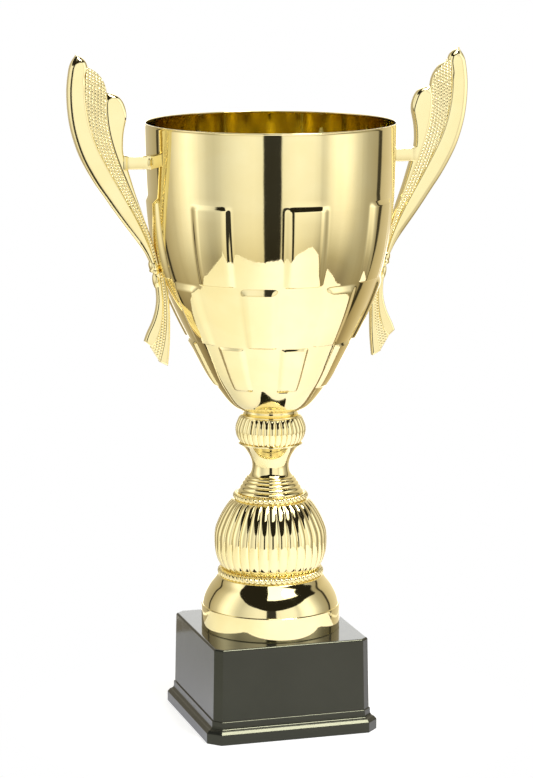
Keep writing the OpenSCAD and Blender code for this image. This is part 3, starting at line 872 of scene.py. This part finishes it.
def handle_parts():
    parts = []
    soft = lambda u: (10.0, 28.0, 0.7)

    def out_b(u):
        k = float(ease(u, 0.10, 0.17))
        return (5.5 + 1.5 * k, 55 - 33 * k, 0.7)

    parts.append(leaf(OUT_A, OUT_B, 4.5, 190, soft, out_b, thin=lambda u: 0.42 + 0.58 * float(ease(u, 0.0, 0.06)), nv_mid=5))
    # the beaded leaf: its outer edge is buried in the outer leaf
    mid_a = [[p[0] + 1.4, p[1]] for p in OUT_B if p[1] < 541]
    mb = lambda u: (3.0, 30.0 - 6 * float(ease(u, 0.1, 0.2)), 0.5)
    ma = lambda u: (1.5, 10.0, 0.3)
    field = bead_field([[134.2, 550], [134.6, 534]] + MID_B[4:], 2.55, 0.60, 1.08)
    parts.append(leaf(mid_a, MID_B, 3.0, 430, ma, mb, beads=field, nv_mid=34))

    def in_a(u):
        return (6.0, 28.0, 0.6)

    def in_b(u):
        k = float(ease(u, 0.12, 0.2))
        return (5.0 + 1.0 * k, 52 - 28 * k, 0.6)

    in_a_pts = [[p[0] + 0.9, p[1]] for p in MID_B if p[1] < 520]
    parts.append(leaf(in_a_pts, IN_B, 4.2, 150, in_a, in_b, thin=lambda u: 0.5 + 0.5 * float(ease(u, 0.0, 0.06)), nv_mid=5))
    # tail
    t_a = lambda u: (5.0, 28.0, 0.5)
    t_b = lambda u: (3.5, 24.0, 0.4)
    parts.append(leaf(TAIL_A, TAIL_B, 3.5, 60, t_a, t_b, nv_mid=3))
    tb = [[p[0] + 0.9, p[1]] for p in TAIL_B]
    parts.append(leaf(tb, TAIL_C, 2.5, 150, lambda u: (1.5, 10, 0.3), lambda u: (1.5, 10, 0.3), beads=bead_field(TAIL_C, 2.3, 0.55, 1.0), nv_mid=18))
    tc = [[p[0] + 0.6, p[1]] for p in TAIL_C]
    parts.append(leaf(tc, TAIL_D, 3.1, 60, t_b, t_a, nv_mid=3))
    # knot
    parts.append(blob((97.4, 0, 380.0), (4.1, 5.4, 6.6), tilt=0.34, n=28, m=20))
    parts.append(wrap_band((97.0, 0, 376.4), 3.1, 4.7, 2.1, 1.0, math.radians(-26)))
    parts.append(blob((95.4, 0, 368.4), (3.2, 4.4, 7.4), tilt=0.16, n=28, m=20))
    # the little boss where the arm meets the wall
    parts.append(blob((101.7, -4.9, 463.6), (1.4, 1.0, 3.6), n=24, m=14))
    # arm to the cup
    parts.append(bar(99.9, 122.5, 463.5, 463.8, 4.5, 5.3))
    return parts


def make_handles():
    parts = handle_parts()
    V, F = join(parts)
    piece("right_handle_casting", V, F, M_HANDLE, "handle_gold", ["right_handle"], sharp=62)
    W = V.copy()
    W[:, 0] *= -1
    piece("left_handle_casting", W, [tuple(f[::-1]) for f in F], M_HANDLE, "handle_gold", ["left_handle"], sharp=62)


make_handles()


# ---------------------------------------------------------------- fittings
def threaded_rod(z0, z1, r, pitch=1.25, n=24):
    """M8 studding: a helical thread with chamfered ends."""
    turns = (z1 - z0) / pitch
    rows = int(turns * 6)
    th = np.arange(n) * TAU / n
    z = np.linspace(z0 + 0.05, z1 - 0.05, rows)
    Z, T = np.meshgrid(z, th, indexing="ij")
    ph = (Z / pitch - T / TAU) % 1.0
    tri = 1 - np.abs(ph * 2 - 1)
    R = r - 0.62 * np.clip((tri - 0.12) / 0.76, 0, 1)
    end = np.minimum(Z - z0, z1 - Z)
    R = np.minimum(R, r - 0.9 + np.clip(end, 0, 0.9))
    V = np.stack([R * np.cos(T), R * np.sin(T), Z], -1).reshape(-1, 3)
    V = np.concatenate([V, [[0, 0, z0], [0, 0, z1]]])
    F = grid_faces(rows, n, wrap_c=True)
    b, t = len(V) - 2, len(V) - 1
    F += [(b, (j + 1) % n, j) for j in range(n)]
    F += [(t, (rows - 1) * n + j, (rows - 1) * n + (j + 1) % n) for j in range(n)]
    return V, F


lo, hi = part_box("tie_rod")
piece("tie_rod_threaded", *threaded_rod(lo.z * 1000, hi.z * 1000, 4.0), M_STEEL, "zinc_steel", ["tie_rod"], sharp=50)


def make_felt():
    """The glued felt pad: a thin sheet with a soft cut edge and an uneven nap."""
    lo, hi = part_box("base_felt")
    h = hi.x * 1000
    n = 90
    rng = np.random.default_rng(7)
    c = 8.0
    xs = np.linspace(-1, 1, n)
    X, Y = np.meshgrid(xs, xs, indexing="ij")
    # square grid pulled in to the cut corners
    PX, PY = X * h, Y * h
    over = np.abs(PX) + np.abs(PY) - (2 * h - c)
    k = np.where(over > 0, over / 2, 0)
    PX = PX - np.sign(PX) * k
    PY = PY - np.sign(PY) * k
    nap = rng.normal(0, 1, X.shape)
    for _ in range(2):
        nap = (nap + np.roll(nap, 1, 0) + np.roll(nap, -1, 0) + np.roll(nap, 1, 1) + np.roll(nap, -1, 1)) / 5
    nap = nap / np.abs(nap).max()
    edge = np.clip(np.minimum(np.minimum(1 - np.abs(X), 1 - np.abs(Y)) * h, 1.5) / 1.5, 0, 1)
    low = 0.05 + 0.05 * (nap + 1) * edge + 0.28 * (1 - edge) ** 2
    low[(nap == nap.min())] = 0.0
    top = np.full_like(low, hi.z * 1000)
    V = np.concatenate([np.stack([PX, PY, low], -1).reshape(-1, 3), np.stack([PX, PY, top], -1).reshape(-1, 3)])
    F = [tuple(f[::-1]) for f in grid_faces(n, n, wrap_c=False)]
    F = [f for f in grid_faces(n, n, wrap_c=False)]
    N = n * n
    F2 = [tuple(N + i for i in f[::-1]) for f in F]
    F = [tuple(f) for f in F]
    rim = []
    for i in range(n - 1):
        for a, b in ((i * n, (i + 1) * n), ((i + 1) * n + n - 1, i * n + n - 1), (i + 1, i), ((n - 1) * n + i, (n - 1) * n + i + 1)):
            rim.append((a, b, N + b, N + a))
    # faces of the underside look down
    v = V
    f0 = F[0]
    nrm = np.cross(v[f0[1]] - v[f0[0]], v[f0[2]] - v[f0[0]])
    if nrm[2] > 0:
        F = [f[::-1] for f in F]
        F2 = [f[::-1] for f in F2]
        rim = [r[::-1] for r in rim]
    return piece("felt_pad", V, F + F2 + rim, M_FELT, "felt", ["base_felt"], sharp=60)


make_felt()

for name, mat in (("bowl_washer", M_STEEL), ("bowl_nut", M_STEEL), ("base_washer", M_STEEL), ("base_nut", M_STEEL),
                  ("cover_screws", M_STEEL), ("handle_screws", M_STEEL), ("handle_washers", M_STEEL),
                  ("ballast", M_IRON), ("base_cover", M_BOARD)):
    me = NODES[name].data
    me.materials.clear()
    me.materials.append(mat)


# ---------------------------------------------------------------- studio
right = np.array([math.cos(AZ), math.sin(AZ), 0.0])      # to the right in the picture
toward = np.array([math.sin(AZ), -math.cos(AZ), 0.0])    # from the cup to the camera


def make_world():
    w = bpy.data.worlds.new("studio")
    scene.world = w
    w.use_nodes = True
    t = w.node_tree
    t.nodes.clear()
    g = Graph(t)
    d = g.node("ShaderNodeTexCoord").outputs["Generated"]
    x = g.dot(d, tuple(right))
    y = g.dot(d, tuple(toward))
    z = g.dot(d, (0, 0, 1))
    az = g.math("MULTIPLY", g.math("ARCTAN2", x, y), 180 / math.pi)
    el = g.math("MULTIPLY", g.math("ARCSINE", z), 180 / math.pi)
    aaz = g.math("ABSOLUTE", az)
    # brightness round the horizon, degrees from the camera's side
    R = [(0, .038), (9.3, .040), (10.8, 1.04), (17, 1.12), (25, 1.18), (40, 1.18), (45, 1.06), (48.5, .90), (52, .99), (56, 1.25),
         (62, 1.52), (73, 1.58), (80, 1.32), (87, .93), (93, .70), (100, .52), (108, .46), (115, .42), (117.3, .06), (121, .06),
         (123, .60), (134, .72), (148, .86), (160, .95), (166, 1.4), (172, 2.3), (180, 2.5)]
    Lf = [(0, .038), (6.0, .040), (7.2, 1.04), (9, 1.06), (15, 1.11), (24, 1.08), (30, 1.03), (39, .92), (47, .80), (53, .73), (60, .81),
          (68.6, 1.08), (77, 1.38), (83, 1.48), (93, 1.18), (98, .98), (104, .72), (117, .55), (123, .47), (124.6, .05), (127.6, .05),
          (129, .47), (144, .56), (159, .64), (164, .90), (171, 2.2), (180, 2.5)]
    top = 2.6

    def tint(a):
        k = float(ease(a, 80, 125) * (1 - ease(a, 160, 172)))
        return (1, 1 - 0.10 * k, 1 - 0.30 * k)

    fac = g.math("DIVIDE", aaz, 180.0)
    cr = g.ramp(fac, [(a / 180, tuple(v / top * c for c in tint(a))) for a, v in R])
    cl = g.ramp(fac, [(a / 180, tuple(v / top * c for c in tint(a))) for a, v in Lf])
    side = g.math("GREATER_THAN", az, 0.0)
    band = g.mix(side, cl, cr)
    # it falls off and warms below the horizon, over the edge of the table
    fe = g.ramp_to(el, -70, 10, 0, 1, smooth=False)
    B = [(-70, (.26, .24, .20)), (-50, (.34, .31, .26)), (-40, (.44, .39, .33)), (-34, (.60, .54, .44)), (-30, (.72, .66, .53)),
         (-26, (.80, .75, .63)), (-20, (.90, .87, .80)), (-13, (.96, .95, .93)), (-7, (1, 1, 1)), (10, (1, 1, 1))]
    low = g.ramp(fe, [((a + 70) / 80, c) for a, c in B])
    S = [(-70, (.16, .14, .11)), (-40, (.20, .17, .14)), (-32, (.23, .20, .16)), (-29, (.27, .24, .19)), (-26, (.32, .29, .23)),
         (-23, (.42, .39, .33)), (-20, (.53, .50, .44)), (-17, (.64, .61, .56)), (-12, (.80, .78, .75)), (-5, (.97, .96, .95)), (10, (1, 1, 1))]
    low_right = g.ramp(fe, [((a + 70) / 80, c) for a, c in S])
    low_left = g.ramp(fe, [((a + 70) / 80, tuple(v ** 0.72 for v in c)) for a, c in S])
    k_right = g.math("MULTIPLY", g.ramp_to(aaz, 15, 66, 0, 1), g.ramp_to(aaz, 80, 104, 1, 0))
    k_left = g.math("MULTIPLY", g.ramp_to(aaz, 42, 60, 0, 0.8), g.ramp_to(aaz, 88, 112, 1, 0.2))
    low_l = g.mix(k_left, low, low_left)
    low_r = g.mix(k_right, low, low_right)
    low = g.mix(side, low_l, low_r)
    col = g.mix(1.0, band, low, "MULTIPLY")
    # overhead
    fu = g.ramp_to(el, 0, 90, 0, 1, smooth=False)
    U = [(0, 1.0), (20, 1.0), (40, .95), (55, .85), (72, .85), (90, .85)]
    up = g.ramp(fu, [(a / 90, c) for a, c in U])
    col = g.mix(1.0, col, up, "MULTIPLY")
    # the dark ceiling on the camera's side: its edge climbs away from the middle
    fa = g.ramp_to(az, -100, 100, 0, 1, smooth=False)
    E = [(-100, 60), (-82, 48), (-66, 40), (-44, 34), (-24, 29.5), (-8, 24), (12, 24), (24, 26), (38, 29), (55, 32), (74, 34), (88, 33), (100, 30)]
    edge = g.ramp(fa, [((a + 100) / 200, e / 90) for a, e in E])
    above = g.math("SUBTRACT", g.math("DIVIDE", el, 90.0), edge)
    ends = g.math("MAXIMUM", g.ramp_to(aaz, 88, 98, 1, 0), g.math("MULTIPLY", side, g.ramp_to(aaz, 103, 109, 1, 0)))
    m1 = g.math("MULTIPLY", g.ramp_to(above, -0.006, 0.012, 0, 1), ends)
    m2 = g.ramp_to(el, 82, 86, 0, 1)
    m = g.math("MAXIMUM", m1, m2)
    col = g.mix(m, col, (0.02 / top, 0.018 / top, 0.014 / top, 1))
    # window in it
    wx = g.math("MULTIPLY", g.ramp_to(az, -8, -6, 0, 1), g.ramp_to(az, 66, 69, 1, 0))
    wy = g.math("MULTIPLY", g.ramp_to(el, 46, 47.5, 0, 1), g.ramp_to(el, 83, 86, 1, 0))
    col = g.mix(g.math("MULTIPLY", wx, wy), col, (2.0 / top, 2.0 / top, 1.95 / top, 1))
    # the lamp itself, seen through the middle of the window
    lx = g.math("MULTIPLY", g.ramp_to(az, 34, 37, 0, 1), g.ramp_to(az, 62, 65, 1, 0))
    ly = g.math("MULTIPLY", g.ramp_to(el, 50, 52, 0, 1), g.ramp_to(el, 68, 70, 1, 0))
    bg = g.node("ShaderNodeBackground")
    g.put(bg.inputs["Color"], col)
    g.put(bg.inputs["Strength"], g.math("ADD", g.math("MULTIPLY", g.math("MULTIPLY", lx, ly), 28.0), top))
    white = g.node("ShaderNodeBackground")
    white.inputs["Color"].default_value = (1, 1, 1, 1)
    white.inputs["Strength"].default_value = 1.0
    lp = g.node("ShaderNodeLightPath")
    mx = g.node("ShaderNodeMixShader")
    g.put(mx.inputs[0], lp.outputs["Is Camera Ray"])
    g.put(mx.inputs[1], bg.outputs[0])
    g.put(mx.inputs[2], white.outputs[0])
    out = g.node("ShaderNodeOutputWorld")
    g.put(out.inputs["Surface"], mx.outputs[0])
    w.cycles.sampling_method = "MANUAL"
    w.cycles.sample_map_resolution = 2048


def sheet_of(name, outline, mat, z=-0.0002):
    """Flat stage sheet; outline in camera-aligned millimetres."""
    verts = []
    for x, y in outline:
        p = right * x + toward * y
        verts.append((p[0] / 1000, p[1] / 1000, z))
    c = np.mean(np.array(verts), 0)
    verts.append(tuple(c))
    k = len(outline)
    me = bpy.data.meshes.new(name)
    me.from_pydata(verts, [], [(k, i, (i + 1) % k) for i in range(k)])
    me.update()
    if me.polygons[0].normal.z < 0:
        me.flip_normals()
    me.materials.append(mat)
    ob = bpy.data.objects.new(name, me)
    scene.collection.objects.link(ob)
    return ob


def paper_material(name, table):
    m = bpy.data.materials.new(name)
    m.use_nodes = True
    t = m.node_tree
    t.nodes.clear()
    g = Graph(t)
    co = g.node("ShaderNodeTexCoord").outputs["Object"]
    x = g.dot(co, tuple(right))
    y = g.dot(co, tuple(toward))
    e = g.node("ShaderNodeEmission")
    # Painted light and shade on the paper sheet, seen only in reflections: its glow is darker and warmer on the left,
    # brighter and bluer on the right, and dimmer behind the cup, where it is a painted shadow of the cup.
    if table:
        g.put(e.inputs["Color"], g.ramp(g.ramp_to(x, -0.60, 0.60, 0, 1, smooth=False),
                                        [(0, (.46, .45, .39)), (.3, (.54, .54, .53)), (.5, (.70, .71, .83)), (.65, (.75, .73, .87)), (.85, (.78, .74, .82)), (1, (.79, .74, .79))]))
        e_str = g.ramp_to(y, -0.16, 0.16, 1.0, 1.2)
    else:
        e.inputs["Color"].default_value = (1.0, 0.95, 0.84, 1)
        e_str = g.ramp_to(y, -0.60, -0.18, 1.25, 1.2)
    g.put(e.inputs["Strength"], e_str)
    df = g.node("ShaderNodeBsdfDiffuse")
    df.inputs["Color"].default_value = (0.45, 0.45, 0.44, 1) if table else (0.2, 0.2, 0.19, 1)
    add = g.node("ShaderNodeAddShader")
    g.put(add.inputs[0], e.outputs[0])
    g.put(add.inputs[1], df.outputs[0])
    # seen straight from the camera it melts into the white of the studio
    plain = g.node("ShaderNodeEmission")
    plain.inputs["Strength"].default_value = 1.0
    near = g.node("ShaderNodeEmission")
    near.inputs["Strength"].default_value = 0.74
    shade = g.node("ShaderNodeBsdfDiffuse")
    shade.inputs["Color"].default_value = (0.50, 0.50, 0.49, 1)
    add2 = g.node("ShaderNodeAddShader")
    g.put(add2.inputs[0], near.outputs[0])
    g.put(add2.inputs[1], shade.outputs[0])
    far = g.ramp_to(g.math("SQRT", g.dot(co, co)), 0.105, 0.22, 0, 1)
    soft = g.node("ShaderNodeMixShader")
    g.put(soft.inputs[0], far)
    g.put(soft.inputs[1], add2.outputs[0])
    g.put(soft.inputs[2], plain.outputs[0])
    lp = g.node("ShaderNodeLightPath")
    seen = g.node("ShaderNodeMixShader")
    g.put(seen.inputs[0], lp.outputs["Is Camera Ray"])
    g.put(seen.inputs[1], add.outputs[0])
    g.put(seen.inputs[2], soft.outputs[0])
    tr = g.node("ShaderNodeBsdfTransparent")
    mx = g.node("ShaderNodeMixShader")
    g.put(mx.inputs[0], g.node("ShaderNodeNewGeometry").outputs["Backfacing"])
    g.put(mx.inputs[1], seen.outputs[0])
    g.put(mx.inputs[2], tr.outputs[0])
    out = g.node("ShaderNodeOutputMaterial")
    g.put(out.inputs["Surface"], mx.outputs[0])
    return m


def make_floor():
    """A pale sheet of paper in front, on a table that goes on behind the cup; the paper's glow is painted light,
    graded from side to side and dimmed behind the cup as painted shade.
    """
    edge = []
    n = 140
    for i in range(n):
        x = -636 + (650 + 636) * i / (n - 1)
        y = 775 + 0.07 * x + 9 * math.sin(x / 70 + 0.6) + 5 * math.sin(x / 23 + 2.0) + 3 * math.sin(x / 9.0)
        edge.append((x, y))
    back = [(612, -60), (500, -105), (400, -145), (254, -182), (0, -212), (-217, -236), (-380, -200), (-520, -160), (-590, -110)]
    sheet_of("paper_sheet", edge + [(645, 300), (640, 125)] + back + [(-625, 250)], paper_material("paper_painted_glow", True))
    table = back[::-1] + [(640, 0), (760, -300), (800, -900), (700, -1700), (-700, -1700), (-800, -900), (-700, -300), (-620, -60)]
    sheet_of("table_top", table, paper_material("pale_table", False), z=-0.0006)


make_world()
make_floor()

cam_data = bpy.data.cameras.new("camera")
cam = bpy.data.objects.new("camera", cam_data)
scene.collection.objects.link(cam)
cam_data.sensor_fit = "AUTO"
cam_data.sensor_width = 36.0
cam_data.lens = 130.5216
cam_data.clip_start, cam_data.clip_end = 0.05, 30.0
cam.matrix_world = Matrix(((0.9578413, 0.0524953, -0.2824613, -0.6521247),
                           (-0.2872975, 0.1768435, -0.9413748, -2.1617789),
                           (0.0005337, 0.9828380, 0.1844698, 0.6991440),
                           (0, 0, 0, 1)))
scene.camera = cam

scene.view_settings.view_transform = "Standard"
scene.view_settings.look = "None"
scene.cycles.glossy_bounces = 10
scene.cycles.max_bounces = 14
